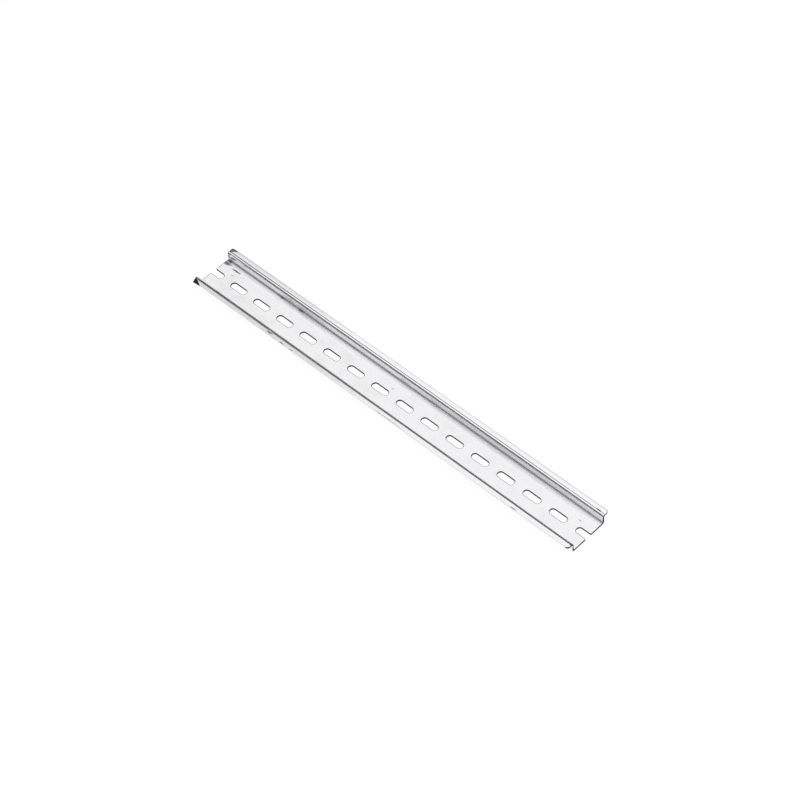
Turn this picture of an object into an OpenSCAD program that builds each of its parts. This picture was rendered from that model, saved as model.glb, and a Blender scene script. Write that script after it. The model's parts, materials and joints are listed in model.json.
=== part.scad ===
// Slotted top-hat mounting rail, 35 x 7.5 section, in millimetres.
// It is one strip of sheet steel: punched flat, rolled to a top-hat section and cut to length.
// It lies on the back of its web with the flanges up, its length along X and its width along Y.
// The origin is on the back of the web, in the middle of the length and the width.

/* [Section] */
// Overall width, from flange edge to flange edge
rail_width = 35; // [33:0.5:40]
// Width over the outside faces of the two walls
hat_width = 27; // [22:0.5:28]
// Height from the back of the web to the tops of the flanges
rail_height = 7.5; // [6:0.5:15]
// Thickness of the strip
strip_t = 1; // [0.8:0.1:1.5]
// Radius on the inside of each of the four bends
bend_r = 0.8; // [0.3:0.1:1]

/* [Slots] */
// Width of each slot, a close fit on an M4 screw
slot_w = 4.2; // [3.2:0.1:6.5]
// Length of each slot, over its round ends
slot_l = 12.2; // [8:0.1:16]
// Distance from the middle of one slot to the middle of the next
slot_pitch = 20; // [20:1:50]
// Least metal between the last whole slot and the cut end
end_land = 3; // [2:0.5:6]

/* [Ends] */
// Length of the rail as cut
rail_length = 305; // [105:1:505]
// Largest radius on the four flange corners, seen from above
corner_r = 2; // [0.5:0.1:3]
// Radius on the two corners where an end notch opens
mouth_r = 0.8; // [0.3:0.1:1.5]

/* [Hidden] */
// Cutters run this far past the metal that they cut
over = 1;
// Outside radius of a bend: both faces of the strip turn about one centre
outer_r = bend_r + strip_t;
// Straight stretches between the bends
web_flat = hat_width - 2 * outer_r;
wall_flat = rail_height - 2 * outer_r;
flange_flat = (rail_width - hat_width) / 2 - bend_r;
// The corner rounding stays within the flat of the flange, clear of its bend
flange_corner_r = min(corner_r, flange_flat);

// Whole slots stand in pairs, half a pitch and more either side of the middle
slot_pairs = floor((rail_length / 2 - end_land - slot_l / 2) / slot_pitch + 1 / 2);
last_slot_x = (slot_pairs - 1 / 2) * slot_pitch;
// The next slot outward is cut open by the end, which leaves a notch of this depth
notch_depth = rail_length / 2 - (last_slot_x + slot_pitch - slot_l / 2);
// A slot that the end would only nick is left out
has_notches = notch_depth > slot_w / 2 + mouth_r;

$fn = 64;

// ---- Section across the rail, drawn with the width along X and the height along Y ----

// A quarter turn of the strip about the origin, from the bottom to the right-hand side
module bend() {
    intersection() {
        difference() {
            circle(r = outer_r);
            circle(r = bend_r);
        }
        translate([0, -outer_r])
            square(outer_r);
    }
}

// One wall and flange with its two bends, to the right of the web
module hat_side() {
    translate([web_flat / 2, outer_r])
        bend();
    translate([hat_width / 2 - strip_t, outer_r])
        square([strip_t, wall_flat]);
    translate([hat_width / 2 + bend_r, rail_height - outer_r])
        rotate(180)
            bend();
    translate([hat_width / 2 + bend_r, rail_height - strip_t])
        square([flange_flat, strip_t]);
}

module hat_section() {
    translate([-web_flat / 2, 0])
        square([web_flat, strip_t]);
    hat_side();
    mirror([1, 0])
        hat_side();
}

// ---- Outline seen from above, with the length along X and the width along Y ----

// A slot whose round ends are centred at x0 and x1
module slot(x0, x1) {
    for (x = [x0, x1])
        translate([x, 0])
            circle(d = slot_w);
    translate([x0, -slot_w / 2])
        square([x1 - x0, slot_w]);
}

// What is cut off a square corner to round it: the corner is at the origin, its metal down and left
module corner_cut(r) {
    difference() {
        translate([-r, -r])
            square(r + over);
        translate([-r, -r])
            circle(r = r);
    }
}

// A whole slot centred at x
module whole_slot(x) {
    end_offset = (slot_l - slot_w) / 2;
    slot(x - end_offset, x + end_offset);
}

// The notch in the right-hand end: half a slot, open to the end, with rounded corners at its mouth
module end_notch() {
    slot(rail_length / 2 - notch_depth + slot_w / 2, rail_length / 2 + slot_w);
    for (side = [0, 1])
        mirror([0, side])
            translate([rail_length / 2, -slot_w / 2])
                corner_cut(mouth_r);
}

// What the right-hand end takes away: both flange corners and the notch
module end_cuts() {
    for (side = [0, 1])
        mirror([0, side])
            translate([rail_length / 2, rail_width / 2])
                corner_cut(flange_corner_r);
    if (has_notches)
        end_notch();
}

module punched_outline() {
    difference() {
        square([rail_length, rail_width], center = true);
        for (x = [-last_slot_x : slot_pitch : last_slot_x])
            whole_slot(x);
        for (end = [0, 1])
            mirror([end, 0])
                end_cuts();
    }
}

// ---- The rail ----

// The section over the whole length, less all that lies outside the punched outline
module rail() {
    color([0.86, 0.88, 0.89])
        intersection() {
            rotate([90, 0, 90])
                linear_extrude(height = rail_length, center = true)
                    hat_section();
            translate([0, 0, -over])
                linear_extrude(height = rail_height + 2 * over)
                    punched_outline();
        }
}

rail();
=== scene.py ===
"""Slotted top-hat mounting rail in bright zinc-plated steel.

The rail is one strip of sheet steel. Its mesh is made the way the real one is: a flat strip with
slots and end notches is laid out on grids, its sheared edges get their rolled-over form, and the
whole is then turned up through four bends. Lengths are in metres. X runs along the rail, Y across
it and Z from the back of the web to the flanges.
"""

import json
import logging
import math
from dataclasses import dataclass, field
from enum import Enum

import bmesh
import bpy
import numpy as np
from mathutils import Matrix, Vector


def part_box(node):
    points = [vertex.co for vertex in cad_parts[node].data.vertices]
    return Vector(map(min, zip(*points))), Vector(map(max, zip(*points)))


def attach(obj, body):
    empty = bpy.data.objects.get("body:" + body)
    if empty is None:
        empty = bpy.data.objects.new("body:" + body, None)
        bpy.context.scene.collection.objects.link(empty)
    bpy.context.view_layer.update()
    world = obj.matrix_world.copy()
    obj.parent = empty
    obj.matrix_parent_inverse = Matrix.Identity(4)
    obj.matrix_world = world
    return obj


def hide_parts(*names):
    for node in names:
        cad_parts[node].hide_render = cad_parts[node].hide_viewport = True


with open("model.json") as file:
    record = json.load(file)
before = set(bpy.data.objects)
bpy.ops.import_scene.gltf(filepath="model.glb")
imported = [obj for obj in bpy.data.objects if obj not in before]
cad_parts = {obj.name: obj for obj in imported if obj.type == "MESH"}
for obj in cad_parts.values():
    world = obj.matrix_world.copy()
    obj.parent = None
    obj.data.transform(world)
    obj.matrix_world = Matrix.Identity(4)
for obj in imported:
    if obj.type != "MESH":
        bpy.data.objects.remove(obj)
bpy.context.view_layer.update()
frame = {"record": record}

LOG = logging.getLogger("mounting_rail")
MM = 0.001


class Face(Enum):
    """The two faces of the strip, by the sign of their height above its middle layer."""

    FRONT = 1
    BACK = -1


class Finish(Enum):
    """The finishes of the mesh's faces, by the material's place on the piece."""

    PLATED = 0
    SHEARED = 1


# ---- Mesh patches ----


@dataclass
class Patch:
    """A grid of points in the strip's own coordinates, with the quads that join them.

    Attributes:
        x: Distance along the strip, one value for each grid point.
        s: Distance across the flat strip from its middle, of the same shape.
        h: Height above the strip's middle layer, of the same shape.
        closed: Whether the last column joins the first again.
        kind: Finish of the patch's faces.
    """

    x: np.ndarray
    s: np.ndarray
    h: np.ndarray
    closed: bool = False
    kind: Finish = Finish.PLATED

    def points(self) -> np.ndarray:
        """Return the grid's points as rows of x, s and h."""
        return np.stack([self.x.ravel(), self.s.ravel(), self.h.ravel()], axis=1)

    def quads(self) -> np.ndarray:
        """Join the grid's points.

        The quad at row r and column c joins (r, c), (r, c + 1), (r + 1, c + 1) and (r + 1, c).

        Returns:
            Rows of four point numbers, one row for each quad.
        """
        rows, columns = self.x.shape
        number = np.arange(rows * columns).reshape(rows, columns)
        if self.closed:
            number = np.concatenate([number, number[:, :1]], axis=1)
        corners = [number[:-1, :-1], number[:-1, 1:], number[1:, 1:], number[1:, :-1]]
        return np.stack([c.ravel() for c in corners], axis=1)


# ---- The strip and its section ----


@dataclass(frozen=True)
class ShearedEdge:
    """Form of a punched or sheared edge, from the front face down to the back face.

    Attributes:
        roll_in: How far in from the edge the front face starts to roll over.
        roll_down: How far down the roll-over reaches.
        land_down: Depth at which the smooth cut land ends and the broken zone starts.
        break_in: How far the broken zone has drawn back at the back face.
        roll_steps: Number of grid steps round the roll-over.
    """

    roll_in: float = 0.34 * MM
    roll_down: float = 0.24 * MM
    land_down: float = 0.55 * MM
    break_in: float = 0.07 * MM
    roll_steps: int = 4

    def profile(self, thickness: float) -> tuple[np.ndarray, np.ndarray]:
        """Work out the edge's profile.

        The roll-over is a quarter ellipse: inset = roll_in * (1 - sin a) and
        height = thickness / 2 - roll_down * (1 - cos a), for a from 0 to 90 degrees. Below it
        the land is straight, and the broken zone draws back in a straight line.

        Args:
            thickness: Thickness of the strip.

        Returns:
            The inset from the nominal edge and the height above the middle layer, front to back.
        """
        a = np.linspace(0.0, math.pi / 2, self.roll_steps + 1)
        inset = self.roll_in * (1.0 - np.sin(a))
        height = thickness / 2 - self.roll_down * (1.0 - np.cos(a))
        low = -thickness / 2
        land = thickness / 2 - self.land_down
        inset = np.append(inset, [0.0, self.break_in * 0.5, self.break_in])
        height = np.append(height, [land, (land + low) / 2, low])
        return inset, height


@dataclass(frozen=True)
class HatSection:
    """Path of the strip's middle layer across the rail, from the web's middle to a flange edge.

    Attributes:
        width: Overall width over the flange edges.
        height: Overall height.
        hat_width: Width over the outside of the two walls.
        thickness: Thickness of the strip.
        bend_radius: Inside radius of each bend.
    """

    width: float
    height: float
    hat_width: float = 27.0 * MM
    thickness: float = 1.0 * MM
    bend_radius: float = 0.8 * MM

    @property
    def outer_radius(self) -> float:
        """Outside radius of each bend."""
        return self.bend_radius + self.thickness

    @property
    def middle_radius(self) -> float:
        """Radius of the middle layer in each bend."""
        return self.bend_radius + self.thickness / 2

    @property
    def turn(self) -> float:
        """Length of the middle layer in one bend, a quarter circle."""
        return self.middle_radius * math.pi / 2

    @property
    def web_end(self) -> float:
        """Distance across the flat strip at which the first bend starts."""
        return self.hat_width / 2 - self.outer_radius

    @property
    def wall_start(self) -> float:
        """Distance across the flat strip at which the wall starts."""
        return self.web_end + self.turn

    @property
    def wall_end(self) -> float:
        """Distance across the flat strip at which the wall ends."""
        return self.wall_start + self.height - 2 * self.outer_radius

    @property
    def flange_start(self) -> float:
        """Distance across the flat strip at which the flat of the flange starts."""
        return self.wall_end + self.turn

    @property
    def half_strip(self) -> float:
        """Distance across the flat strip at which the flange ends."""
        return self.flange_start + (self.width - self.hat_width) / 2 - self.bend_radius

    def place(self, strip: np.ndarray) -> np.ndarray:
        """Carry points of the flat strip to their places on the formed rail.

        The distance across is cut into its five stretches by clipping: web, bend, wall, bend
        and flange. A bend of radius r turned through t adds r sin t along its first direction
        and r (1 - cos t) along its second. A point then stands off the middle layer by its
        height, along a normal that leans by the turn so far.

        Args:
            strip: Rows of x, s and h on the flat strip.

        Returns:
            Rows of X, Y and Z on the rail.
        """
        x, s, h = strip.T
        a = np.abs(s)
        r = self.middle_radius
        first = np.clip(a - self.web_end, 0.0, self.turn) / r
        second = np.clip(a - self.wall_end, 0.0, self.turn) / r
        wall = np.clip(a - self.wall_start, 0.0, self.wall_end - self.wall_start)
        flange = np.clip(a - self.flange_start, 0.0, None)
        across = np.minimum(a, self.web_end) + r * np.sin(first) + r * (1 - np.cos(second)) + flange
        up = self.thickness / 2 + r * (1 - np.cos(first)) + wall + r * np.sin(second)
        lean = first - second
        side = np.where(s < 0.0, -1.0, 1.0)
        return np.stack([x, side * (across - h * np.sin(lean)), up + h * np.cos(lean)], axis=1)


@dataclass(frozen=True)
class SlotRow:
    """The slots along the web and the notches where the ends cut through the next slots.

    Attributes:
        centres: Places of the whole slots along the rail.
        notch_centre: Distance from the middle to the centre of a slot that an end has cut.
        width: Width of a slot.
        length: Length of a slot over its round ends.
        mouth_radius: Radius on the corners where a notch opens.
    """

    centres: tuple[float, ...]
    notch_centre: float
    width: float
    length: float
    mouth_radius: float = 0.8 * MM

    @classmethod
    def from_record(cls, record: dict) -> "SlotRow":
        """Read the slots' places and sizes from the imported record's mounts.

        Args:
            record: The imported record.

        Returns:
            The row of slots.
        """
        pairs = [m for m in record["mounts"] if "slot_length_mm" in m["dims"]]
        half = sorted(m["dims"]["spacing_x_mm"] * MM / 2 for m in pairs)
        notch = max(abs(m["pos_m"][0]) for m in record["mounts"] if m["name"].startswith("end_notch"))
        dims = pairs[0]["dims"]
        centres = tuple(-v for v in reversed(half)) + tuple(half)
        return cls(centres, notch, 2 * dims["hole_r_mm"] * MM, dims["slot_length_mm"] * MM)

    @property
    def round_offset(self) -> float:
        """Distance from a slot's centre to the centre of either round end."""
        return (self.length - self.width) / 2


@dataclass(frozen=True)
class PunchedStrip:
    """The flat strip, laid out as grids that meet point for point.

    The middle band holds one cell for each slot and one for each notch. The rest, on either
    side of the band, is one long grid that ends in the strip's cut outline.

    Attributes:
        length: Length of the strip.
        section: The section that it is rolled to.
        slots: Its slots and notches.
        corner_radius: Radius on the flange corners.
        edge: Form of its sheared edges.
        band: Half the width of the middle band.
        step: Grid step along the strip.
        row_steps: Grid steps across web, bend, wall, bend and flange, outside the middle band.
        flange_lead: How far inside its bend the flange's own rows start.
        arc_steps: Steps round each flange corner.
        end_steps: Grid steps from the last slot's cell to the cut end.
        band_steps: Grid steps across the middle band.
        ring_shares: Where the rows round a slot stand, as shares of the way out to its cell.
        mouth_steps: Steps round each corner of a notch's mouth.
        notch_steps: Steps round each quarter of a notch's round end.
    """

    length: float
    section: HatSection
    slots: SlotRow
    corner_radius: float = 2.0 * MM
    edge: ShearedEdge = field(default_factory=ShearedEdge)
    band: float = 5.0 * MM
    step: float = 1.0 * MM
    row_steps: tuple[int, ...] = (6, 9, 4, 10, 16)
    flange_lead: float = 0.75 * MM
    arc_steps: int = 8
    end_steps: int = 20
    band_steps: int = 10
    ring_shares: tuple[float, ...] = (0.0, 0.1, 0.27, 0.5, 0.75, 1.0)
    mouth_steps: int = 4
    notch_steps: int = 13

    # ---- Outlines of the cut edges, each drawn back from the nominal edge by an inset ----

    @property
    def reach(self) -> float:
        """Distance from the middle to the end of the last slot's cell."""
        return (self.slots.centres[-1] + self.slots.notch_centre) / 2

    def rows(self, inset: float) -> tuple[np.ndarray, np.ndarray]:
        """Lay out the rows of a side grid.

        Near the flange edge the rows follow the corner's arc: for an angle a from 0 to 90
        degrees, s = s0 + (R - inset) sin a and the strip ends at x0 + (R - inset) cos a.

        Args:
            inset: How far the outline is drawn back.

        Returns:
            Each row's distance across the strip, and where the strip ends along it.
        """
        sec = self.section
        corner = sec.half_strip - self.corner_radius
        fine = sec.flange_start - self.flange_lead
        stops = [self.band, sec.web_end, sec.wall_start, sec.wall_end, fine, corner]
        runs = zip(stops, stops[1:], self.row_steps)
        straight = np.concatenate([np.linspace(a, b, n, endpoint=False) for a, b, n in runs])
        a = np.linspace(0.0, math.pi / 2, self.arc_steps + 1)
        radius = self.corner_radius - inset
        s = np.append(straight, corner + radius * np.sin(a))
        end = np.append(
            np.full(straight.size, self.length / 2 - inset),
            self.length / 2 - self.corner_radius + radius * np.cos(a),
        )
        return s, end

    def columns(self) -> tuple[np.ndarray, np.ndarray]:
        """Lay out the columns of a side grid.

        Returns:
            Each column's fixed place along the strip, and the share by which it is drawn on
            from there to the end of its row, signed by the end that it is drawn to.
        """
        count = round(2 * self.reach / self.step)
        core = np.linspace(-self.reach, self.reach, count + 1)
        share = np.linspace(0.0, 1.0, self.end_steps + 1)[1:]
        places = [np.full(share.size, -self.reach), core, np.full(share.size, self.reach)]
        shares = [-share[::-1], np.zeros(core.size), share]
        return np.concatenate(places), np.concatenate(shares)

    def side_grid(self, inset: float) -> tuple[np.ndarray, np.ndarray]:
        """Lay out the long grid between the middle band and one flange edge.

        Args:
            inset: How far the outline is drawn back.

        Returns:
            The grid's x and s.
        """
        s, end = self.rows(inset)
        place, share = self.columns()
        x = place[None, :] + share[None, :] * (end[:, None] - self.reach)
        return x, np.broadcast_to(s[:, None], x.shape)

    def side_outline(self, inset: float) -> tuple[np.ndarray, np.ndarray]:
        """Follow the side grid's cut outline, up one end, along the flange edge and down the other.

        Args:
            inset: How far the outline is drawn back.

        Returns:
            The outline's x and s.
        """
        x, s = self.side_grid(inset)
        line = [np.concatenate([g[:-1, 0], g[-1, :], g[-2::-1, -1]]) for g in (x, s)]
        return line[0], line[1]

    def slot_boundary(self) -> tuple[np.ndarray, np.ndarray]:
        """Follow the rectangle round a slot's cell, about the slot's own centre.

        Returns:
            The boundary's x and s, one closed loop that starts at the lower right corner.
        """
        half = (self.slots.centres[-1] - self.slots.centres[-2]) / 2
        across = np.linspace(-self.band, self.band, self.band_steps + 1)[:-1]
        along = np.linspace(half, -half, round(2 * half / self.step) + 1)[:-1]
        x = np.concatenate([np.full(across.size, half), along, np.full(across.size, -half), -along])
        level = np.full(along.size, self.band)
        s = np.concatenate([across, level, -across, -level])
        return x, s

    def slot_outline(self, inset: float) -> tuple[np.ndarray, np.ndarray]:
        """Follow a slot's edge, with one point for each point of its cell's boundary.

        Both loops are cut into quarters. A boundary point's share of its quarter gives the
        same share of the slot's quarter, which is a quarter circle and then a straight.

        Args:
            inset: How far the outline is drawn back into the metal.

        Returns:
            The outline's x and s, about the slot's centre.
        """
        bx, bs = self.slot_boundary()
        half = np.abs(bx).max()
        on_side = np.isclose(np.abs(bx), half)
        walked = np.where(on_side, np.abs(bs), self.band + half - np.abs(bx))
        radius = self.slots.width / 2
        arc = radius * math.pi / 2
        along = walked / (self.band + half) * (arc + self.slots.round_offset)
        a = np.minimum(along, arc) / radius
        straight = np.maximum(along - arc, 0.0)
        x = self.slots.round_offset - straight + (radius + inset) * np.cos(a)
        s = (radius + inset) * np.sin(a)
        return np.where(bx < 0.0, -x, x), np.where(bs < 0.0, -s, s)

    def notch_boundary(self, inset: float) -> tuple[np.ndarray, np.ndarray]:
        """Follow a notch cell's three inner sides, from the cut end round to the cut end.

        Args:
            inset: How far the end's outline is drawn back.

        Returns:
            The boundary's x and s, for the end on the positive side.
        """
        out = np.linspace(self.length / 2 - inset, self.reach, self.end_steps + 1)[:-1]
        across = np.linspace(self.band, -self.band, self.band_steps + 1)
        x = np.concatenate([out, np.full(across.size, self.reach), out[::-1]])
        s = np.concatenate([np.full(out.size, self.band), across, np.full(out.size, -self.band)])
        return x, s

    def notch_outline(self, inset: float) -> tuple[np.ndarray, np.ndarray]:
        """Follow a notch's edge: mouth corner, straight, half circle, straight, mouth corner.

        Args:
            inset: How far the outline is drawn back into the metal.

        Returns:
            The outline's x and s, for the end on the positive side.
        """
        radius = self.slots.width / 2
        mouth = self.slots.mouth_radius
        total = self.notch_boundary(inset)[0].size // 2
        corner = np.linspace(0.0, math.pi / 2, self.mouth_steps + 1)
        quarter = np.linspace(math.pi / 2, math.pi, self.notch_steps + 1)
        runs = total + 1 - corner.size - quarter.size
        centre = self.slots.notch_centre - self.slots.round_offset
        mouth_x = self.length / 2 - mouth
        straight = np.linspace(mouth_x, centre, runs + 2)[1:-1]
        x = np.concatenate([
            mouth_x + (mouth - inset) * np.cos(corner),
            straight,
            centre + (radius + inset) * np.cos(quarter),
        ])
        s = np.concatenate([
            radius + mouth - (mouth - inset) * np.sin(corner),
            np.full(straight.size, radius + inset),
            (radius + inset) * np.sin(quarter),
        ])
        return np.concatenate([x, x[-2::-1]]), np.concatenate([s, -s[-2::-1]])

    # ---- Patches ----

    def ring(self, inner: tuple, outer: tuple) -> tuple[np.ndarray, np.ndarray]:
        """Fill between two lines with a grid: point = inner + t * (outer - inner), row by row.

        Args:
            inner: x and s of the inner line.
            outer: x and s of the outer line, with as many points.

        Returns:
            The grid's x and s, with closer rows next to the inner line.
        """
        t = np.array(self.ring_shares)[:, None]
        return tuple(a[None, :] + t * (b - a)[None, :] for a, b in zip(inner, outer))

    def notch_end_line(self, inset: float) -> tuple[np.ndarray, np.ndarray]:
        """Follow all of a notch cell's cut edge: cut end, notch, cut end.

        Args:
            inset: How far the outline is drawn back.

        Returns:
            The line's x and s, for the end on the positive side.
        """
        x, s = self.ring(self.notch_outline(inset), self.notch_boundary(inset))
        line = [np.concatenate([g[:0:-1, 0], g[0, :], g[1:, -1]]) for g in (x, s)]
        return line[0], line[1]

    def sheets(self, face: Face) -> list[Patch]:
        """Lay out one whole face of the strip.

        Args:
            face: Which face.

        Returns:
            The patches of that face.
        """
        inset, height = self.edge.profile(self.section.thickness)
        at = 0 if face is Face.FRONT else -1
        inset, height = inset[at], height[at]
        grids = [(*self.side_grid(inset), False)]
        grids.append((grids[0][0], -grids[0][1], False))
        x, s = self.ring(self.slot_outline(inset), self.slot_boundary())
        grids += [(x + centre, s, True) for centre in self.slots.centres]
        x, s = self.ring(self.notch_outline(inset), self.notch_boundary(inset))
        grids += [(x, s, False), (-x, s, False)]
        return [Patch(x, s, np.full(x.shape, height), closed) for x, s, closed in grids]

    def edges(self) -> list[Patch]:
        """Lay out every sheared edge, as the edge's profile carried along each cut outline.

        Returns:
            The patches of the edges. The long flange edges and their corners at the left end are
            plated like the faces, and the rest is bare where it was punched or cut.
        """
        inset, height = self.edge.profile(self.section.thickness)
        side = [self.side_outline(i) for i in inset]
        slot = [self.slot_outline(i) for i in inset]
        notch = [self.notch_end_line(i) for i in inset]
        rows, columns = self.side_grid(0.0)[0].shape
        first, last = rows - 1 - self.arc_steps, rows + columns - 2
        flange = slice(first, last + 1)
        ends = (slice(0, first + 1), slice(last, None))
        whole = slice(None)
        # The bare edges take the sheared finish, whose near-black colour is painted shade.
        bare = Finish.SHEARED
        lines = [(side, 1, sign, 0.0, False, flange, Finish.PLATED) for sign in (1, -1)]
        lines += [(side, 1, sign, 0.0, False, end, bare) for sign in (1, -1) for end in ends]
        lines += [(slot, 1, 1, centre, True, whole, bare) for centre in self.slots.centres]
        lines += [(notch, sign, 1, 0.0, False, whole, bare) for sign in (1, -1)]
        patches = []
        for line, x_sign, s_sign, centre, closed, along, kind in lines:
            x = x_sign * np.stack([p[0][along] for p in line]) + centre
            s = s_sign * np.stack([p[1][along] for p in line])
            h = np.broadcast_to(height[:, None], x.shape)
            patches.append(Patch(x, s, h, closed, kind))
        return patches


# ---- Small forms that rolling and handling have left ----


@dataclass(frozen=True)
class Trough:
    """A shallow trough along the rail, given by its section on a flange's front face.

    Attributes:
        start: Where it starts, counted outward from the start of the flange's flat.
        bottom: Where it is deepest.
        end: Where it has come back to the full height.
        depth: Its depth.
        soft: Length over which its creases are rounded.
        samples: Number of places that are averaged to round them.
    """

    start: float
    bottom: float
    end: float
    depth: float
    soft: float = 0.12 * MM
    samples: int = 7

    def height(self, outward: np.ndarray) -> np.ndarray:
        """Work out the trough's height.

        It falls and rises in straight lines, averaged over the soft length.

        Args:
            outward: Distance outward from the start of the flange's flat.

        Returns:
            The height, nowhere above zero.
        """
        shifts = np.linspace(-self.soft, self.soft, self.samples)
        places = (self.start, self.bottom, self.end)
        lines = [np.interp(outward + shift, places, (0.0, -self.depth, 0.0)) for shift in shifts]
        return np.mean(lines, axis=0)


@dataclass(frozen=True)
class RollMark:
    """What the forming rolls leave: a wall that leans and flanges that start low at their bends.

    The front of the far wall leans outward towards its top, and the far flange climbs back from
    there to its full height, with a fine dip beside its bend. The near flange starts low as
    well. Both flanges' marks are stronger at the left end of the rail.

    Attributes:
        near_left: Trough of the near flange at the left end.
        near_right: Trough of the near flange at the right end.
        far_left: Trough of the far flange at the left end.
        far_right: Trough of the far flange at the right end.
        far_wall: Trough of the far wall and flange, deepest from the top of the wall.
        fade: Power of the change from left to right; above 1 the left end's form fades early.
    """

    near_left: Trough = Trough(-3.0 * MM, -0.6 * MM, 0.85 * MM, 0.27 * MM)
    near_right: Trough = Trough(-1.9 * MM, -0.6 * MM, 0.25 * MM, 0.15 * MM)
    far_left: Trough = Trough(-0.42 * MM, 0.40 * MM, 1.60 * MM, 0.34 * MM)
    far_right: Trough = Trough(-0.20 * MM, 0.22 * MM, 1.20 * MM, 0.21 * MM)
    far_wall: Trough = Trough(-6.2 * MM, -1.9 * MM, 3.0 * MM, 0.19 * MM)
    fade: float = 1.5

    def height(self, strip: np.ndarray, section: HatSection, length: float) -> np.ndarray:
        """Work out the marks' height on the front face.

        The height is the left form times a share plus the right form times the rest, and on the
        far side also the wall's form. The share is (distance from the right end / length) ^ fade.

        Args:
            strip: Rows of x, s and h on the flat strip.
            section: The rail's section.
            length: The rail's length.

        Returns:
            The height to add to h at each point.
        """
        x, s, h = strip.T
        outward = np.abs(s) - section.flange_start
        share = np.clip(0.5 - x / length, 0.0, 1.0) ** self.fade
        near, far = (
            share * left.height(outward) + (1.0 - share) * right.height(outward)
            for left, right in ((self.near_left, self.near_right), (self.far_left, self.far_right))
        )
        return np.where(h > 0.0, np.where(s < 0.0, near, far + self.far_wall.height(outward)), 0.0)


@dataclass(frozen=True)
class BentCorner:
    """A flange corner that has been knocked down about a slanting fold.

    Attributes:
        along: Distance from the end at which the fold meets the flange edge.
        across: Distance from the flange edge at which the fold meets the end.
        angle: Angle of the bent corner below the flange, in degrees.
        x_side: End of the rail that it is on, by sign.
        y_side: Side of the rail that it is on, by sign.
        softness: Length over which the fold turns.
        drawn: How far its rounding is drawn out towards a square corner, from 0 to 1.
    """

    along: float
    across: float
    angle: float
    x_side: int
    y_side: int
    softness: float = 0.35 * MM
    drawn: float = 0.0

    @property
    def normal(self) -> np.ndarray:
        """Direction across the fold, towards the corner, as X and Y."""
        normal = np.array([self.across * self.x_side, self.along * self.y_side])
        return normal / np.linalg.norm(normal)

    def on_flange(self, points: np.ndarray, section: HatSection) -> np.ndarray:
        """Tell which points are on this corner's flange or its bend."""
        return points[:, 1] * self.y_side > section.hat_width / 2 - 0.5 * section.bend_radius

    def draw_out(
        self, points: np.ndarray, section: HatSection, length: float, radius: float
    ) -> np.ndarray:
        """Draw the corner's rounding out.

        A point at distance r from the rounding's centre, at angle a, moves away from it by
        the factor 1 + drawn * (1 / max(cos a, sin a) - 1) * (r / radius)^2.

        Args:
            points: Rows of X, Y and Z on the rail.
            section: The rail's section.
            length: Length of the rail.
            radius: Radius of the rounding.

        Returns:
            The moved points.
        """
        sides = np.array([self.x_side, self.y_side])
        centre = np.array([length / 2 - radius, section.width / 2 - radius])
        offset = np.clip(points[:, :2] * sides - centre, 0.0, None)
        reach = np.linalg.norm(offset, axis=1)
        longest = np.maximum(offset.max(axis=1), 1e-9)
        square = np.where(offset.min(axis=1) > 0.0, reach / longest - 1.0, 0.0)
        grow = self.drawn * square * (reach / radius) ** 2 * self.on_flange(points, section)
        moved = points.copy()
        moved[:, :2] += sides * offset * grow[:, None]
        return moved

    def bend(self, points: np.ndarray, section: HatSection, length: float) -> np.ndarray:
        """Turn the corner down.

        The distance d past the fold is softened as (sqrt(d^2 + k^2) + d) / 2, so that the fold
        is a smooth bend. The corner then drops by d sin(angle) and draws in by d (1 - cos(angle)).

        Args:
            points: Rows of X, Y and Z on the rail.
            section: The rail's section.
            length: Length of the rail.

        Returns:
            The moved points.
        """
        start = np.array([self.x_side * (length / 2 - self.along), self.y_side * section.width / 2])
        past = (points[:, :2] - start) @ self.normal
        soft = (np.sqrt(past**2 + self.softness**2) + past) / 2
        near = np.clip(1.0 + past / (2.0 * self.softness), 0.0, 1.0)
        moved = soft * near * self.on_flange(points, section)
        angle = math.radians(self.angle)
        drop = np.outer(moved, [0.0, 0.0, math.sin(angle)])
        draw = np.outer(moved * (1.0 - math.cos(angle)), [*self.normal, 0.0])
        return points - drop - draw


@dataclass(frozen=True)
class EdgeNick:
    """A small knock in a flange edge, pressed down from the front.

    Attributes:
        x: Place along the rail.
        inset: Distance of its middle from the flange edge.
        depth: Depth at its middle.
        half_length: Half its length along the rail.
        half_width: Half its width across the flange.
        y_side: Side of the rail that it is on, by sign.
    """

    x: float
    inset: float
    depth: float
    half_length: float = 1.3 * MM
    half_width: float = 0.6 * MM
    y_side: int = -1

    def press(self, points: np.ndarray, section: HatSection) -> np.ndarray:
        """Press the knock in: the drop is depth * exp(-(u^2 + v^2)), with u and v in half sizes.

        Args:
            points: Rows of X, Y and Z on the rail.
            section: The rail's section.

        Returns:
            The moved points.
        """
        u = (points[:, 0] - self.x) / self.half_length
        v = (points[:, 1] * self.y_side - section.width / 2 + self.inset) / self.half_width
        drop = self.depth * np.exp(-(u**2 + v**2))
        drop *= (points[:, 2] > section.height / 2) * (points[:, 1] * self.y_side > 0.0)
        return points - np.outer(drop, [0.0, 0.0, 1.0])


# ---- Shader wiring ----


# What a socket can be fed: another socket, a number or a tuple
Value = object
Socket = bpy.types.NodeSocket
Colour = tuple[float, float, float, float]


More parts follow.
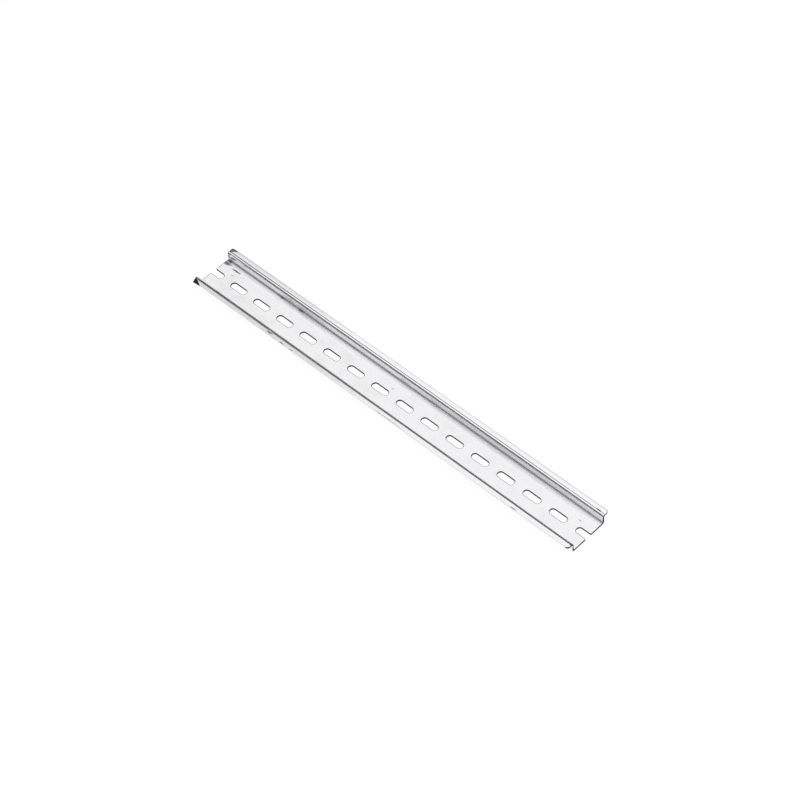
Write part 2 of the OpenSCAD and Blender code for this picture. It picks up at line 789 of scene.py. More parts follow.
class Wiring:
    """Adds nodes to one node tree and links them."""

    def __init__(self, tree: bpy.types.NodeTree) -> None:
        """Start with the tree's own nodes taken out.

        Args:
            tree: The node tree to wire.
        """
        self.tree = tree
        self.count = 0
        tree.nodes.clear()

    def add(self, kind: str, **settings: object) -> bpy.types.Node:
        """Add a node.

        Args:
            kind: The node's type, without the ShaderNode that starts it.
            **settings: Properties to set on the node.

        Returns:
            The node.
        """
        node = self.tree.nodes.new(kind if kind.startswith("NodeGroup") else "ShaderNode" + kind)
        for name, value in settings.items():
            setattr(node, name, value)
        node.location = (200.0 * (self.count % 12), -220.0 * (self.count // 12))
        self.count += 1
        return node

    def feed(self, socket: Socket, value: Value) -> None:
        """Link a socket to another socket, or give it a plain value.

        Args:
            socket: The input socket.
            value: An output socket, a number or a tuple.
        """
        if isinstance(value, bpy.types.NodeSocket):
            self.tree.links.new(value, socket)
        else:
            socket.default_value = value

    def chain(self, kind: str, values: tuple[Value, ...], **settings: object) -> bpy.types.Node:
        """Add a node and feed its first inputs.

        Args:
            kind: The node's type.
            values: What each input gets, in their order.
            **settings: Properties to set on the node.

        Returns:
            The node.
        """
        node = self.add(kind, **settings)
        for socket, value in zip(node.inputs, values):
            self.feed(socket, value)
        return node

    def math(self, operation: str, a: Value, b: Value = 0.0, c: Value = 0.0) -> Socket:
        """Add a Math node and return its value."""
        return self.chain("Math", (a, b, c), operation=operation).outputs[0]

    def vector(self, operation: str, a: Value, b: Value = (0.0, 0.0, 0.0)) -> Socket:
        """Add a Vector Math node and return its vector, or its value for a length or a product."""
        output = "Value" if operation in ("LENGTH", "DOT_PRODUCT") else "Vector"
        return self.chain("VectorMath", (a, b), operation=operation).outputs[output]

    def split(self, vector: Value) -> bpy.types.NodeOutputs:
        """Add a Separate XYZ node and return its three outputs."""
        return self.chain("SeparateXYZ", (vector,)).outputs

    def join(self, x: Value, y: Value, z: Value) -> Socket:
        """Add a Combine XYZ node and return its vector."""
        return self.chain("CombineXYZ", (x, y, z)).outputs[0]

    def ramp(
        self, value: Value, low: Value, high: Value, to_low: Value = 0.0, to_high: Value = 1.0
    ) -> Socket:
        """Add a smooth Map Range node and return its value."""
        values = (value, low, high, to_low, to_high)
        return self.chain("MapRange", values, interpolation_type="SMOOTHSTEP").outputs["Result"]

    def noise(self, place: Value, scale: Value, detail: float, roughness: float) -> Socket:
        """Add a Noise Texture node.

        Args:
            place: Where the noise is read.
            scale: Its scale.
            detail: Number of finer layers.
            roughness: How strongly the finer layers show.

        Returns:
            Its value, about 0.5 on the whole.
        """
        node = self.add("TexNoise")
        self.feed(node.inputs["Vector"], place)
        self.feed(node.inputs["Scale"], scale)
        self.feed(node.inputs["Detail"], detail)
        self.feed(node.inputs["Roughness"], roughness)
        return node.outputs["Fac"]

    def blend(self, share: Value, first: Value, second: Value) -> Socket:
        """Add a colour Mix node.

        Args:
            share: How much of the second colour it takes, from 0 to 1.
            first: The first colour.
            second: The second colour.

        Returns:
            The blended colour.
        """
        node = self.add("Mix", data_type="RGBA")
        self.feed(node.inputs[0], share)
        self.feed(node.inputs[6], first)
        self.feed(node.inputs[7], second)
        return node.outputs[2]

    def bump(
        self, height: Value, strength: float, depth: float, normal: Socket | None = None
    ) -> Socket:
        """Add a Bump node.

        Args:
            height: The relief, from 0 to 1.
            strength: How strongly it turns the normal.
            depth: Depth of the relief in metres.
            normal: Normal that it adds to, or None for the surface's own.

        Returns:
            The turned normal.
        """
        node = self.add("Bump")
        node.inputs["Strength"].default_value = strength
        node.inputs["Distance"].default_value = depth
        self.feed(node.inputs["Height"], height)
        if normal is not None:
            self.feed(node.inputs["Normal"], normal)
        return node.outputs[0]

    def metal(self, colour: Value, rough: Value, normal: Socket) -> None:
        """Add a metal's shader and the material's output.

        Args:
            colour: Its colour.
            rough: Its roughness.
            normal: Its normal.
        """
        shader = self.add("BsdfPrincipled")
        shader.inputs["Metallic"].default_value = 1.0
        self.feed(shader.inputs["Base Color"], colour)
        self.feed(shader.inputs["Roughness"], rough)
        self.feed(shader.inputs["Normal"], normal)
        self.feed(self.add("OutputMaterial").inputs["Surface"], shader.outputs[0])

    def group(self, tree: bpy.types.NodeTree, **values: object) -> bpy.types.Node:
        """Place a node group.

        Args:
            tree: The group's tree.
            **values: Inputs by name, with an underscore for each space.

        Returns:
            The group node.
        """
        node = self.add("Group", node_tree=tree)
        for name, value in values.items():
            self.feed(node.inputs[name.replace("_", " ")], value)
        return node


def new_group(
    name: str, inputs: dict[str, str], output: str
) -> tuple[Wiring, bpy.types.NodeOutputs, Socket]:
    """Start a shader node group with named inputs and one named number as its output.

    Args:
        name: The group's name.
        inputs: Socket type, such as Float or Vector, by input name.
        output: The output's name.

    Returns:
        The group's wiring, what it is given, and the socket that takes its result.
    """
    tree = bpy.data.node_groups.new(name, "ShaderNodeTree")
    for socket_name, kind in inputs.items():
        tree.interface.new_socket(name=socket_name, in_out="INPUT", socket_type="NodeSocket" + kind)
    tree.interface.new_socket(name=output, in_out="OUTPUT", socket_type="NodeSocketFloat")
    wiring = Wiring(tree)
    given = wiring.add("NodeGroupInput").outputs
    return wiring, given, wiring.add("NodeGroupOutput").inputs[output]


def new_material(name: str) -> tuple[bpy.types.Material, Wiring]:
    """Start a material with no nodes in it.

    Args:
        name: The material's name.

    Returns:
        The material and its wiring.
    """
    material = bpy.data.materials.new(name)
    material.use_nodes = True
    return material, Wiring(material.node_tree)


def add_object(name: str, data: bpy.types.ID) -> bpy.types.Object:
    """Add an object to the scene.

    Args:
        name: The object's name.
        data: Its mesh, lamp or camera.

    Returns:
        The object.
    """
    thing = bpy.data.objects.new(name, data)
    bpy.context.scene.collection.objects.link(thing)
    return thing


class Effects:
    """The effects that the rail's finishes share, each one node group."""

    SPOT_GRAIN = 1400.0
    SPOT_STRETCH = (0.4, 1.0, 1.0)
    SPOT_RIM = (0.55, 1.15)

    def __init__(self) -> None:
        """Build each group once."""
        self.rolling_lines = self._rolling_lines()
        self.cloud = self._cloud()
        self.spot = self._spot()
        self.past_line = self._past_line()

    @staticmethod
    def _rolling_lines() -> bpy.types.NodeTree:
        """Fine lines along the strip: noise drawn out along x, of a given spacing across.

        Returns:
            The group, which puts out a height.
        """
        inputs = {"Place": "Vector", "Spacing": "Float", "Run": "Float"}
        w, given, height = new_group("Rolling lines", inputs, "Height")
        x, y, z = w.split(given["Place"])
        along = w.math("DIVIDE", x, given["Run"])
        across, deep = (w.math("DIVIDE", part, given["Spacing"]) for part in (y, z))
        w.feed(height, w.noise(w.join(along, across, deep), 1.0, 3.0, 0.6))
        return w.tree

    @staticmethod
    def _cloud() -> bpy.types.NodeTree:
        """Soft patches of a given size: noise, cut between two levels.

        Returns:
            The group, which puts out a mask.
        """
        inputs = {"Place": "Vector", "Size": "Float", "From": "Float", "To": "Float", "Seed": "Float"}
        w, given, mask = new_group("Cloud", inputs, "Mask")
        scaled = w.add("VectorMath", operation="SCALE")
        w.feed(scaled.inputs[0], given["Place"])
        w.feed(scaled.inputs["Scale"], w.math("DIVIDE", 1.0, given["Size"]))
        place = w.vector("ADD", scaled.outputs[0], w.join(0.0, 0.0, given["Seed"]))
        w.feed(mask, w.ramp(w.noise(place, 1.0, 3.0, 0.55), given["From"], given["To"]))
        return w.tree

    @classmethod
    def _spot(cls) -> bpy.types.NodeTree:
        """One ragged spot: an ellipse whose rim is pushed about by noise drawn out along the strip.

        Returns:
            The group, which puts out a mask.
        """
        inputs = {"Place": "Vector", "Centre": "Vector", "Half size": "Vector", "Ragged": "Float"}
        w, given, mask = new_group("Spot", inputs, "Mask")
        offset = w.vector("SUBTRACT", given["Place"], given["Centre"])
        scaled = w.vector("DIVIDE", offset, given["Half size"])
        drawn = w.vector("MULTIPLY", given["Place"], cls.SPOT_STRETCH)
        rough = w.noise(drawn, cls.SPOT_GRAIN, 3.0, 0.65)
        push = w.math("MULTIPLY", w.math("SUBTRACT", rough, 0.5), given["Ragged"])
        distance = w.math("ADD", w.vector("LENGTH", scaled), push)
        w.feed(mask, w.ramp(distance, *cls.SPOT_RIM, 1.0, 0.0))
        return w.tree

    @staticmethod
    def _past_line() -> bpy.types.NodeTree:
        """All that lies past a straight line on the strip, with a soft rim.

        Returns:
            The group, which puts out a mask.
        """
        inputs = {"Place": "Vector", "Start": "Vector", "Towards": "Vector", "Soft": "Float"}
        w, given, mask = new_group("Past line", inputs, "Mask")
        offset = w.vector("SUBTRACT", given["Place"], given["Start"])
        past = w.vector("DOT_PRODUCT", offset, given["Towards"])
        w.feed(mask, w.ramp(past, w.math("MULTIPLY", given["Soft"], -1.0), given["Soft"]))
        return w.tree


# ---- Finishes ----


SOOT = (0.10, 0.10, 0.11, 1.0)
GREY = (0.24, 0.24, 0.23, 1.0)
VIOLET = (0.13, 0.11, 0.19, 1.0)
STRIP_PLACE = "strip_place"


@dataclass(frozen=True)
class Clouding:
    """Soft patches in a finish.

    Attributes:
        size: Size of the patches.
        low: Level of the noise at which a patch starts.
        high: Level at which it is full.
        seed: Where in the noise it is read.
        strength: How strongly it shows in the colour.
    """

    size: float
    low: float
    high: float
    seed: float
    strength: float

    def mask(self, w: Wiring, effects: Effects, place: Socket) -> Socket:
        """Lay out the patches.

        Args:
            w: The material's wiring.
            effects: The shared node groups.
            place: The place on the flat strip.

        Returns:
            The patches' mask.
        """
        given = {"Size": self.size, "From": self.low, "To": self.high, "Seed": self.seed}
        return w.group(effects.cloud, Place=place, **given).outputs[0]


@dataclass(frozen=True)
class Scoring:
    """Fine lines or slight waves that run along a surface.

    Attributes:
        spacing: Distance between them.
        run: Length of each.
        depth: Depth of their relief.
        strength: How strongly the relief shows.
    """

    spacing: float
    run: float
    depth: float
    strength: float

    def height(self, w: Wiring, effects: Effects, place: Socket) -> Socket:
        """Lay out the lines.

        Args:
            w: The material's wiring.
            effects: The shared node groups.
            place: A place, of which the first part runs along the lines.

        Returns:
            Their height, from 0 to 1.
        """
        given = {"Place": place, "Spacing": self.spacing, "Run": self.run}
        return w.group(effects.rolling_lines, **given).outputs[0]

    def relief(self, w: Wiring, height: Socket, normal: Socket | None = None) -> Socket:
        """Turn the surface's normal by the lines' relief.

        Args:
            w: The material's wiring.
            height: The lines' height.
            normal: Normal that they add to, or None for the surface's own.

        Returns:
            The turned normal.
        """
        return w.bump(height, self.strength, self.depth, normal)


@dataclass(frozen=True)
class Mark:
    """A spot on the plating. Most are discoloured spots and rubbed spots; some are painted shade and
    painted reflections.

    Attributes:
        x: Place along the rail.
        s: Distance across the flat strip from its middle.
        half_x: Half its length along the rail.
        half_s: Half its width.
        strength: How strongly it shows, from 0 to 1.
        dark: Colour of its middle.
        ragged: How ragged its rim is.
    """

    x: float
    s: float
    half_x: float
    half_s: float
    strength: float
    dark: Colour = SOOT
    ragged: float = 0.8

    def mask(self, w: Wiring, effects: Effects, place: Socket) -> Socket:
        """Place the mark's spot, on the front face alone.

        Args:
            w: The material's wiring.
            effects: The shared node groups.
            place: The place on the flat strip.

        Returns:
            The spot's mask.
        """
        centre = (self.x, self.s, 0.5 * MM)
        half = (self.half_x, self.half_s, 0.4 * MM)
        given = {"Place": place, "Centre": centre, "Half_size": half, "Ragged": self.ragged}
        return w.group(effects.spot, **given).outputs[0]


@dataclass(frozen=True)
class PaintedFoldReflection:
    """A painted dark reflection that covers a bent corner as far as its fold.

    Attributes:
        x: Where the fold meets the flange edge, along the rail.
        s: Where the flange edge is, across the flat strip.
        towards: Direction across the fold, towards the corner, along and across the strip.
        strength: How strongly it shows, from 0 to 1.
        dark: Its colour.
        soft: Distance over which it fades at the fold, to either side.
    """

    x: float
    s: float
    towards: tuple[float, float]
    strength: float = 0.95
    dark: Colour = (0.012, 0.012, 0.013, 1.0)
    soft: float = 0.25 * MM

    def mask(self, w: Wiring, effects: Effects, place: Socket) -> Socket:
        """Place the painted reflection's line.

        Args:
            w: The material's wiring.
            effects: The shared node groups.
            place: The place on the flat strip.

        Returns:
            The painted reflection's mask.
        """
        start, towards = (self.x, self.s, 0.0), (*self.towards, 0.0)
        given = {"Place": place, "Start": start, "Towards": towards, "Soft": self.soft}
        return w.group(effects.past_line, **given).outputs[0]


MarkOrPaintedShade = Mark | PaintedFoldReflection


@dataclass(frozen=True)
class ZincPlate:
    """Bright zinc plating with a clear passivated film, over rolled steel strip.

    Attributes:
        bright: Colour of clean plating.
        dull: Colour where the film is cloudy.
        blue: Colour where the film has a cool tint.
        cloud: The cloudy patches.
        tint: The tinted patches.
        lines: The lines that rolling has left.
        lining: How strongly the lines show in the colour.
        waves: The strip's slight waves.
        roughness: Roughness of clean plating.
        unevenness: How much clouds and lines each add to that.
        mark_roughening: How much a mark adds to it.
        marks: Discoloured and rubbed spots, with painted shade and painted reflections among them.
    """

    bright: Colour = (0.900, 0.896, 0.910, 1.0)
    dull: Colour = (0.775, 0.772, 0.778, 1.0)
    blue: Colour = (0.830, 0.815, 0.890, 1.0)
    cloud: Clouding = Clouding(11.0 * MM, 0.46, 0.72, 3.0, 0.09)
    tint: Clouding = Clouding(30.0 * MM, 0.45, 0.75, 9.0, 0.22)
    lines: Scoring = Scoring(0.35 * MM, 50.0 * MM, 0.004 * MM, 0.6)
    lining: float = 0.06
    waves: Scoring = Scoring(6.0 * MM, 35.0 * MM, 0.02 * MM, 1.0)
    roughness: float = 0.17
    unevenness: float = 0.05
    mark_roughening: float = 0.35
    marks: tuple[MarkOrPaintedShade, ...] = ()

    def material(self, effects: Effects) -> bpy.types.Material:
        """Build the material.

        Args:
            effects: The shared node groups.

        Returns:
            The material.
        """
        material, w = new_material("zinc_plate")
        place = w.add("Attribute", attribute_name=STRIP_PLACE).outputs["Vector"]
        cloud = self.cloud.mask(w, effects, place)
        tint = self.tint.mask(w, effects, place)
        lines = self.lines.height(w, effects, place)
        waves = self.waves.height(w, effects, place)
        colour = w.blend(w.math("MULTIPLY", cloud, self.cloud.strength), self.bright, self.dull)
        colour = w.blend(w.math("MULTIPLY", tint, self.tint.strength), colour, self.blue)
        colour = w.blend(w.math("MULTIPLY", w.ramp(lines, 0.3, 0.7), self.lining), colour, self.dull)
        marked = 0.0
        # Some marks are painted shade and painted reflections, laid into the colour like the
        # discoloured spots.
        for mark in self.marks:
            share = w.math("MULTIPLY", mark.mask(w, effects, place), mark.strength)
            colour = w.blend(share, colour, mark.dark)
            marked = w.math("MAXIMUM", marked, share)

        rough = w.math("MULTIPLY_ADD", cloud, self.unevenness, self.roughness)
        rough = w.math("MULTIPLY_ADD", lines, self.unevenness, rough)
        rough = w.math("MULTIPLY_ADD", marked, self.mark_roughening, rough)
        normal = self.waves.relief(w, waves, self.lines.relief(w, lines))
        w.metal(colour, rough, normal)
        return material


@dataclass(frozen=True)
class ShearedSteelAndShade:
    """Bare steel where the strip was punched or cut, scored through its thickness and darkened as
    painted shade.

    Attributes:
        land: Colour of the smooth cut land, near black as painted shade.
        broken: Colour of the broken zone below it, darker still as painted shade.
        break_start: Height above the middle layer at which the land starts to break.
        break_end: Height at which it is all broken.
        wander: How far the break wanders up and down.
        scores: The scores of the punch.
        scoring: How strongly they show in the colour.
        roughness: Roughness of the land.
        break_roughness: How much the broken zone adds to that.
    """

    # Painted shade: bare steel is far lighter; these near-black colours stand for the shade in the
    # slots and on the cut ends, and the shadow beneath the slots' walls.
    land: Colour = (0.036, 0.036, 0.040, 1.0)
    broken: Colour = (0.018, 0.018, 0.020, 1.0)
    break_start: float = 0.02 * MM
    break_end: float = -0.12 * MM
    wander: float = 0.3 * MM
    scores: Scoring = Scoring(0.12 * MM, 2.0 * MM, 0.02 * MM, 0.7)
    scoring: float = 0.3
    roughness: float = 0.42
    break_roughness: float = 0.2

    def material(self, effects: Effects) -> bpy.types.Material:
        """Build the material.

        Args:
            effects: The shared node groups.

        Returns:
            The material.
        """
        material, w = new_material("sheared_steel_and_shade")
        x, y, z = w.split(w.add("Attribute", attribute_name=STRIP_PLACE).outputs["Vector"])
        scores = self.scores.height(w, effects, w.join(z, x, y))
        wander = w.math("MULTIPLY", w.math("SUBTRACT", scores, 0.5), self.wander)
        below = w.ramp(w.math("ADD", z, wander), self.break_end, self.break_start, 1.0, 0.0)
        colour = w.blend(below, self.land, self.broken)
        scored = w.math("MULTIPLY", w.ramp(scores, 0.35, 0.7), self.scoring)
        colour = w.blend(scored, colour, self.broken)
        rough = w.math("MULTIPLY_ADD", below, self.break_roughness, self.roughness)
        w.metal(colour, rough, self.scores.relief(w, scores))
        return material


# ---- The rail ----


@dataclass
class MountingRail:
    """The rail: one punched strip, formed, knocked about a little and plated.

    Attributes:
        section: Its section.
        strip: The flat strip that it is formed from.
        roll_mark: What the rolls have left in the flanges and the far wall.
        corners: Corners that are bent.
        nicks: Knocks in the flange edges.
        zinc: Finish of its faces.
        sheared: Finish of its cut edges, darkened as painted shade.
        weld_distance: Distance within which the patches' points become one.
        sharp_angle: Angle between faces above which their edge is sharp, in degrees.
    """

    section: HatSection
    strip: PunchedStrip
    roll_mark: RollMark
    corners: tuple[BentCorner, ...]
    nicks: tuple[EdgeNick, ...]
    zinc: ZincPlate
    sheared: ShearedSteelAndShade
    weld_distance: float = 0.001 * MM
    sharp_angle: float = 32.0

    def surface(self) -> tuple[np.ndarray, np.ndarray, np.ndarray, np.ndarray]:
        """Join the patches into one list of points and quads.

        Returns:
            Points on the flat strip, points on the rail, quads, and each quad's finish.
        """
        patches = [*self.strip.sheets(Face.FRONT), *self.strip.sheets(Face.BACK), *self.strip.edges()]
        sizes = np.cumsum([0] + [p.x.size for p in patches])
        flat = np.concatenate([p.points() for p in patches])
        quads = np.concatenate([p.quads() + first for p, first in zip(patches, sizes)])
        finish = np.concatenate([np.full(len(p.quads()), p.kind.value) for p in patches])
        raised = flat.copy()
        raised[:, 2] += self.roll_mark.height(flat, self.section, self.strip.length)
        formed = self.section.place(raised)
        for nick in self.nicks:
            formed = nick.press(formed, self.section)
        for corner in self.corners:
            formed = corner.draw_out(formed, self.section, self.strip.length, self.strip.corner_radius)
            formed = corner.bend(formed, self.section, self.strip.length)
        return flat, formed, quads, finish

    def build(self, effects: Effects) -> bpy.types.Object:
        """Build the mesh: its patches are welded along their shared lines and turned outwards.

        Args:
            effects: The shared node groups.

        Returns:
            The rail's object.
        """
        flat, formed, quads, finish = self.surface()
        mesh = bpy.data.meshes.new("punched_rail")
        mesh.from_pydata(formed.tolist(), [], quads.tolist())
        place = mesh.attributes.new(STRIP_PLACE, "FLOAT_VECTOR", "POINT")
        place.data.foreach_set("vector", flat.ravel())
        mesh.polygons.foreach_set("material_index", finish.astype(np.int32))
        weld = bmesh.new()
        weld.from_mesh(mesh)
        bmesh.ops.remove_doubles(weld, verts=weld.verts, dist=self.weld_distance)
        bmesh.ops.recalc_face_normals(weld, faces=weld.faces)
        weld.to_mesh(mesh)
        weld.free()
        mesh.shade_smooth()
        mesh.set_sharp_from_angle(angle=math.radians(self.sharp_angle))
        for coat in (self.zinc, self.sheared):
            mesh.materials.append(coat.material(effects))
        return add_object("punched_rail", mesh)


# ---- The studio ----


@dataclass(frozen=True)
class Floor:
    """A plain white floor that keeps the rail's shadow.

    Attributes:
        half_size: Half the floor's width.
        own_share: Share of its brightness that it gives by itself, for the camera and for
            reflections. The rest comes from the light that falls on it.
        white: Its colour in the studio's light.
    """

    half_size: float = 4.0
    own_share: float = 0.90
    white: float = 0.14

    def build(self) -> bpy.types.Object:
        """Build the floor, level with the back of the rail's web.

        Returns:
            The floor's object.
        """
        h = self.half_size
        mesh = bpy.data.meshes.new("studio_floor")
        mesh.from_pydata([(-h, -h, 0.0), (h, -h, 0.0), (h, h, 0.0), (-h, h, 0.0)], [], [(0, 1, 2, 3)])
        mesh.materials.append(self.material())
        return add_object("studio_floor", mesh)

    def material(self) -> bpy.types.Material:
        """Build a plain white that lights up only for what looks at it.

        Returns:
            The material.
        """
        material, w = new_material("studio_floor")
        path = w.add("LightPath")
        seen = w.math("MAXIMUM", path.outputs["Is Camera Ray"], path.outputs["Is Glossy Ray"])
        seen = w.math("MAXIMUM", seen, path.outputs["Is Transmission Ray"])
        lit = w.add("BsdfDiffuse")
        lit.inputs["Color"].default_value = (self.white, self.white, self.white, 1.0)
        own = w.add("Emission")
        own.inputs["Color"].default_value = (1.0, 1.0, 1.0, 1.0)
        w.feed(own.inputs["Strength"], w.math("MULTIPLY", seen, self.own_share))
        both = w.add("AddShader")
        w.feed(both.inputs[0], lit.outputs[0])
        w.feed(both.inputs[1], own.outputs[0])
        w.feed(w.add("OutputMaterial").inputs["Surface"], both.outputs[0])
        return material


@dataclass(frozen=True)
class Softbox:
    """A large soft lamp.

    Attributes:
        name: Its name.
        place: Where it stands.
        size: Its width and height.
        power: Its power in watts.
    """

    name: str
    place: tuple[float, float, float]
    size: tuple[float, float]
    power: float

    def build(self) -> bpy.types.Object:
        """Build the lamp, aimed at the rail.

        Returns:
            The lamp's object.
        """
        data = bpy.data.lights.new(self.name, "AREA")
        data.shape = "RECTANGLE"
        data.size, data.size_y = self.size
        data.energy = self.power
        lamp = add_object(self.name, data)
        lamp.location = self.place
        lamp.rotation_euler = (-Vector(self.place)).to_track_quat("-Z", "Y").to_euler()
        return lamp


Shading = tuple[tuple[float, float], ...]


@dataclass(frozen=True)
class Panel:
    """A soft-edged round patch of the surroundings, lighter or darker than the rest.

    Attributes:
        towards: Direction of its middle, as seen from the rail.
        inner: Angle from its middle at which it starts to fade, in degrees.
        outer: Angle from its middle at which it is gone, in degrees.
        level: Brightness that it takes the surroundings to.
        share: How much of the surroundings it replaces.
    """

    towards: tuple[float, float, float]
    inner: float
    outer: float
    level: float
    share: float = 1.0


@dataclass(frozen=True)
class Surroundings:
    """The studio round the rail: a white ceiling above darker walls, shaded by height.

    Attributes:
        behind: Shading on the side beyond the rail, as pairs of the angle above the horizon in
            degrees and the brightness, from the horizon up.
        front: Shading on the near side.
        turn: How far to either side of the rail the two shadings blend, as a share of 1.
        panels: Patches laid over that.
    """

    behind: Shading = (
        (0, 0.40),
        (7, 0.32),
        (15, 0.06),
        (38, 0.06),
        (42.5, 0.94),
        (46, 1.05),
        (53, 1.04),
        (58, 0.98),
        (72, 0.92),
        (90, 0.86),
    )
    front: Shading = (
        (0, 0.05),
        (12, 0.05),
        (25, 0.14),
        (36, 0.42),
        (42, 0.88),
        (44.5, 1.14),
        (46.5, 1.10),
        (47.6, 0.98),
        (49.3, 0.56),
        (50.8, 0.56),
        (52.5, 1.00),
        (54, 1.20),
        (58, 1.22),
        (74, 0.98),
        (90, 0.86),
    )
    turn: float = 0.25
    panels: tuple[Panel, ...] = (
        Panel((-0.406, 0.675, 0.616), 6.0, 12.0, 0.05),
        Panel((1.0, -0.15, 0.10), 20.0, 75.0, 0.60),
    )

    @staticmethod
    def shade(w: Wiring, sine: Socket, stops: Shading) -> Socket:
        """Turn the sine of the angle above the horizon into a brightness.

        Args:
            w: The world's wiring.
            sine: The sine.
            stops: The shading, straight between its pairs.

        Returns:
            The brightness.
        """
        curve = w.add("ValToRGB")
        curve.color_ramp.interpolation = "LINEAR"
        top = max(level for _, level in stops)
        elements = curve.color_ramp.elements
        for angle, _ in stops[1:-1]:
            elements.new(math.sin(math.radians(angle)))
        for element, (angle, level) in zip(elements, stops):
            element.position = math.sin(math.radians(angle))
            element.color = (level / top, level / top, level / top, 1.0)
        w.feed(curve.inputs[0], sine)
        return w.math("MULTIPLY", curve.outputs["Color"], top)

    def build(self) -> None:
        """Build the world: white to the camera, and the studio's shading to everything else."""
        world = bpy.data.worlds.new("studio")
        bpy.context.scene.world = world
        world.use_nodes = True
        w = Wiring(world.node_tree)
        direction = w.add("TexCoord").outputs["Generated"]
        _, across, up = w.split(direction)
        sine = w.math("MAXIMUM", up, 0.0)
        behind = self.shade(w, sine, self.behind)
        front = self.shade(w, sine, self.front)
        side = w.ramp(across, -self.turn, self.turn)
        level = w.math("MULTIPLY_ADD", w.math("SUBTRACT", behind, front), side, front)
        for panel in self.panels:
            towards = tuple(Vector(panel.towards).normalized())
            edge = [math.cos(math.radians(angle)) for angle in (panel.outer, panel.inner)]
            mask = w.ramp(w.vector("DOT_PRODUCT", direction, towards), *edge, 0.0, panel.share)
            gap = w.math("SUBTRACT", panel.level, level)
            level = w.math("MULTIPLY_ADD", gap, mask, level)
        white = (1.0, 1.0, 1.0, 1.0)
        to_rail = w.chain("Background", (white, level)).outputs[0]
        to_camera = w.chain("Background", (white, 1.0)).outputs[0]
        from_camera = w.add("LightPath").outputs["Is Camera Ray"]
        both = w.chain("MixShader", (from_camera, to_rail, to_camera)).outputs[0]
        w.feed(w.add("OutputWorld").inputs["Surface"], both)


@dataclass(frozen=True)
class StudioCamera:
    """The camera, above the right-hand end of the near side.

    Attributes:
        place: Where it stands.
        aim: The point that it looks straight at.
        roll: Its turn about its own line of sight, in degrees.
        lens: Focal length in millimetres.
        sensor: Width of its sensor in millimetres.
        nearest: Distance at which it starts to see.
        farthest: Distance to which it sees.
    """

    place: tuple[float, float, float]
    aim: tuple[float, float, float]
    roll: float
    lens: float
    sensor: float = 36.0
    nearest: float = 0.05
    farthest: float = 50.0

    def build(self) -> bpy.types.Object:
        """Build the camera and make it the scene's own.

        Returns:
            The camera's object.
        """
        data = bpy.data.cameras.new("camera")
        data.lens = self.lens
        data.sensor_width = self.sensor
        data.clip_start = self.nearest
        data.clip_end = self.farthest
        camera = add_object("camera", data)
        sight = Vector(self.aim) - Vector(self.place)
        turn = sight.to_track_quat("-Z", "Y").to_matrix().to_4x4()
        roll = Matrix.Rotation(math.radians(self.roll), 4, "Z")
        camera.matrix_world = Matrix.Translation(self.place) @ turn @ roll
        bpy.context.scene.camera = camera
        return camera


@dataclass(frozen=True)
class Studio:
    """The whole studio.

    Attributes:
        camera: Its camera.
        floor: Its floor.
        lamps: Its lamps.
        surroundings: All that stands round the rail and is mirrored in it.
    """

    camera: StudioCamera
    floor: Floor
    lamps: tuple[Softbox, ...]
    surroundings: Surroundings

    def build(self) -> None:
        """Build all of it, and leave colours as they are written."""
        self.camera.build()
        self.floor.build()
        for lamp in self.lamps:
            lamp.build()
        self.surroundings.build()
        bpy.context.scene.view_settings.view_transform = "Standard"


# ---- Putting it together ----


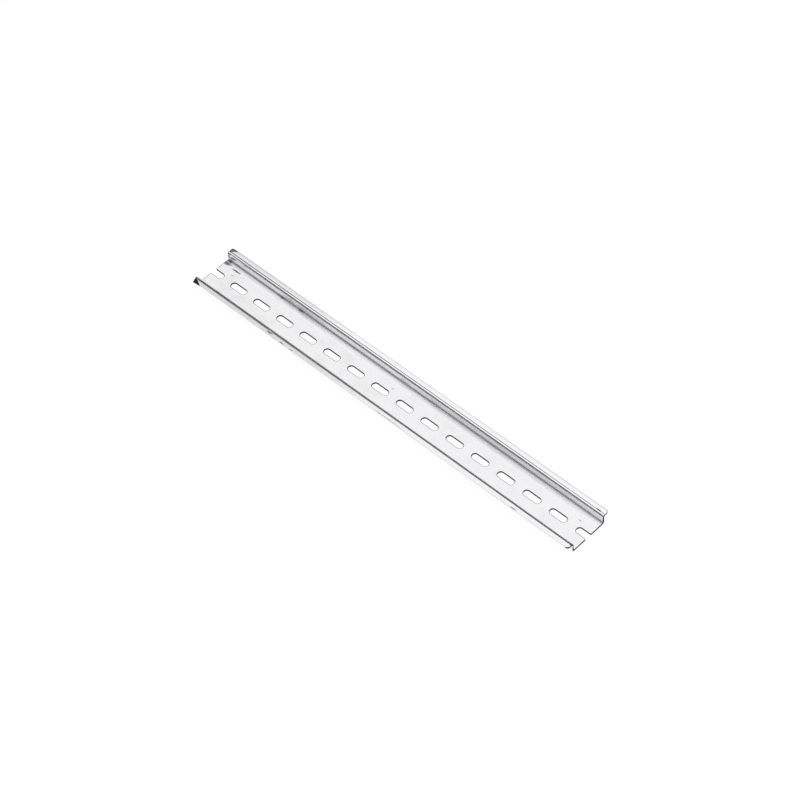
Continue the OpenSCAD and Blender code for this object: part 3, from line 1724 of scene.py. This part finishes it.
def marks_and_painted_shade(
    section: HatSection, length: float, corners: tuple[BentCorner, ...]
) -> tuple[MarkOrPaintedShade, ...]:
    """Set out the marks on the plating, each one over those before it, painted shade and reflections
    among them.

    Args:
        section: The rail's section.
        length: The rail's length.
        corners: The bent corners, the near one first.

    Returns:
        The marks and the painted reflections on the folds.
    """
    left, middle = -length / 2, length / 2 / MM
    edge, flange = section.half_strip, section.flange_start / MM
    web, wall = section.web_end / MM, section.wall_end / MM
    near_fold, far_fold = (tuple(float(v) for v in corner.normal) for corner in corners)

    def mark(
        distance: float,
        s: float,
        half_x: float,
        half_s: float,
        strength: float,
        dark: Colour = SOOT,
        ragged: float = Mark.ragged,
    ) -> Mark:
        """Set out one mark in millimetres, by its distance from the left end."""
        return Mark(left + distance * MM, s * MM, half_x * MM, half_s * MM, strength, dark, ragged)

    return (
        # Painted shade: the far flange darker at its left end.
        mark(15.0, 21.6, 85.0, 2.6, 0.18, GREY, 0.5),
        mark(45.0, -21.6, 105.0, 2.4, 0.16, GREY, 0.8),
        mark(235.0, wall - 1.9, 80.0, 3.4, 0.20, GREY, 0.6),
        # Painted dark reflections on the two bent corners at the left end.
        PaintedFoldReflection(left + 6.9 * MM, -edge, near_fold),
        PaintedFoldReflection(left + 6.0 * MM, edge, far_fold, 0.9, dark=(0.12, 0.12, 0.115, 1.0)),
        # Painted shade in the crease between the web and the far wall, along the whole length.
        mark(middle, web + 0.38, 500.0, 0.82, 0.48, (0.12, 0.12, 0.14, 1.0), 0.4),
        # Painted shade: a dark line along the far flange's outer edge at the left end.
        mark(25.0, 22.75, 36.0, 0.35, 0.45, GREY, 1.2),
        mark(1.8, 9.8, 3.0, 1.5, 0.80, VIOLET),
        mark(2.2, web + 0.6, 2.4, 0.9, 0.95, (0.02, 0.02, 0.04, 1.0)),
        mark(0.8, wall - 1.0, 2.6, 2.2, 0.68, (0.12, 0.12, 0.12, 1.0)),
        mark(11.2, 8.85, 4.0, 0.62, 0.95, VIOLET, 0.6),
        mark(11.5, 4.8, 0.8, 0.45, 0.5),
        mark(48.0, web + 1.2, 3.5, 1.2, 0.7, ragged=2.6),
        mark(55.0, wall - 2.0, 5.5, 1.5, 0.35, GREY, 3.0),
        mark(64.3, web + 1.1, 2.6, 1.3, 0.8, ragged=2.0),
        mark(67.5, wall - 1.8, 8.0, 1.9, 0.32, GREY, 3.2),
        mark(77.5, wall - 2.0, 7.5, 1.9, 0.24, (0.50, 0.41, 0.40, 1.0), 2.0),
        mark(151.5, wall - 2.0, 5.0, 1.8, 0.22, (0.42, 0.34, 0.50, 1.0), 2.0),
        mark(175.5, wall - 2.0, 4.5, 1.8, 0.22, (0.48, 0.36, 0.42, 1.0), 2.0),
        mark(66.0, -20.8, 2.8, 0.6, 0.6, ragged=2.6),
        mark(77.0, -22.3, 2.0, 0.45, 0.65, ragged=2.6),
        mark(85.5, -22.4, 1.6, 0.4, 0.5, ragged=2.6),
        mark(148.0, 5.0, 1.1, 0.6, 0.25),
        mark(158.0, -22.3, 2.5, 0.4, 0.45, ragged=2.6),
        mark(168.0, -22.2, 9.0, 0.4, 0.30, ragged=2.6),
        mark(263.0, -22.2, 3.0, 0.5, 0.35, ragged=2.6),
        mark(294.0, 5.4, 1.3, 0.35, 0.7),
        mark(300.0, flange + 0.15, 2.4, 0.5, 0.95),
        # Painted shade: a dark line along the far flange's outer edge on the right part.
        mark(265.0, 22.75, 60.0, 0.35, 0.42, GREY, 1.0),
        mark(304.6, -19.0, 1.4, 1.5, 0.85, ragged=0.3),
    )


def rail_from_frame() -> MountingRail:
    """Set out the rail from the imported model's box and record.

    Returns:
        The rail, ready to build.
    """
    low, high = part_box("rail")
    length, width, height = (float(b - a) for a, b in zip(low, high))
    section = HatSection(width, height)
    strip = PunchedStrip(length, section, SlotRow.from_record(frame["record"]))
    corners = (
        BentCorner(7.0 * MM, 3.8 * MM, 34.0, x_side=-1, y_side=-1, drawn=1.0),
        BentCorner(5.5 * MM, 3.6 * MM, 5.0, x_side=-1, y_side=1, drawn=0.6),
    )
    left = -length / 2
    nicks = (
        EdgeNick(left + 66.0 * MM, 1.9 * MM, 0.2 * MM),
        EdgeNick(left + 77.0 * MM, 0.6 * MM, 0.25 * MM),
        EdgeNick(left + 85.5 * MM, 0.5 * MM, 0.2 * MM),
        EdgeNick(left + 158.0 * MM, 0.6 * MM, 0.25 * MM),
        EdgeNick(left + 263.0 * MM, 1.2 * MM, 0.2 * MM),
    )
    zinc = ZincPlate(marks=marks_and_painted_shade(section, length, corners))
    return MountingRail(section, strip, RollMark(), corners, nicks, zinc, ShearedSteelAndShade())


def studio() -> Studio:
    """Set out the studio.

    Returns:
        The studio, ready to build.
    """
    camera = StudioCamera(
        place=(0.72137, -0.66359, 1.20076), aim=(0.00400, 0.00219, 0.0), roll=-4.5374, lens=118.529
    )
    lamps = (
        Softbox("key_softbox", (0.3, 0.2, 2.0), (1.4, 1.0), 12.0),
        Softbox("fill_softbox", (1.6, -1.0, 1.2), (1.2, 1.2), 5.0),
    )
    return Studio(camera, Floor(), lamps, Surroundings())


def main() -> None:
    """Build the studio and the rail, and report each piece."""
    logging.basicConfig(level=logging.INFO, format="%(message)s")
    studio().build()
    rail = rail_from_frame().build(Effects())
    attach(rail, "root")
    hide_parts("rail")
    triangles = sum(len(p.vertices) - 2 for p in rail.data.polygons)
    LOG.info("%s: %d triangles", rail.name, triangles)


if __name__ == "__main__":
    main()
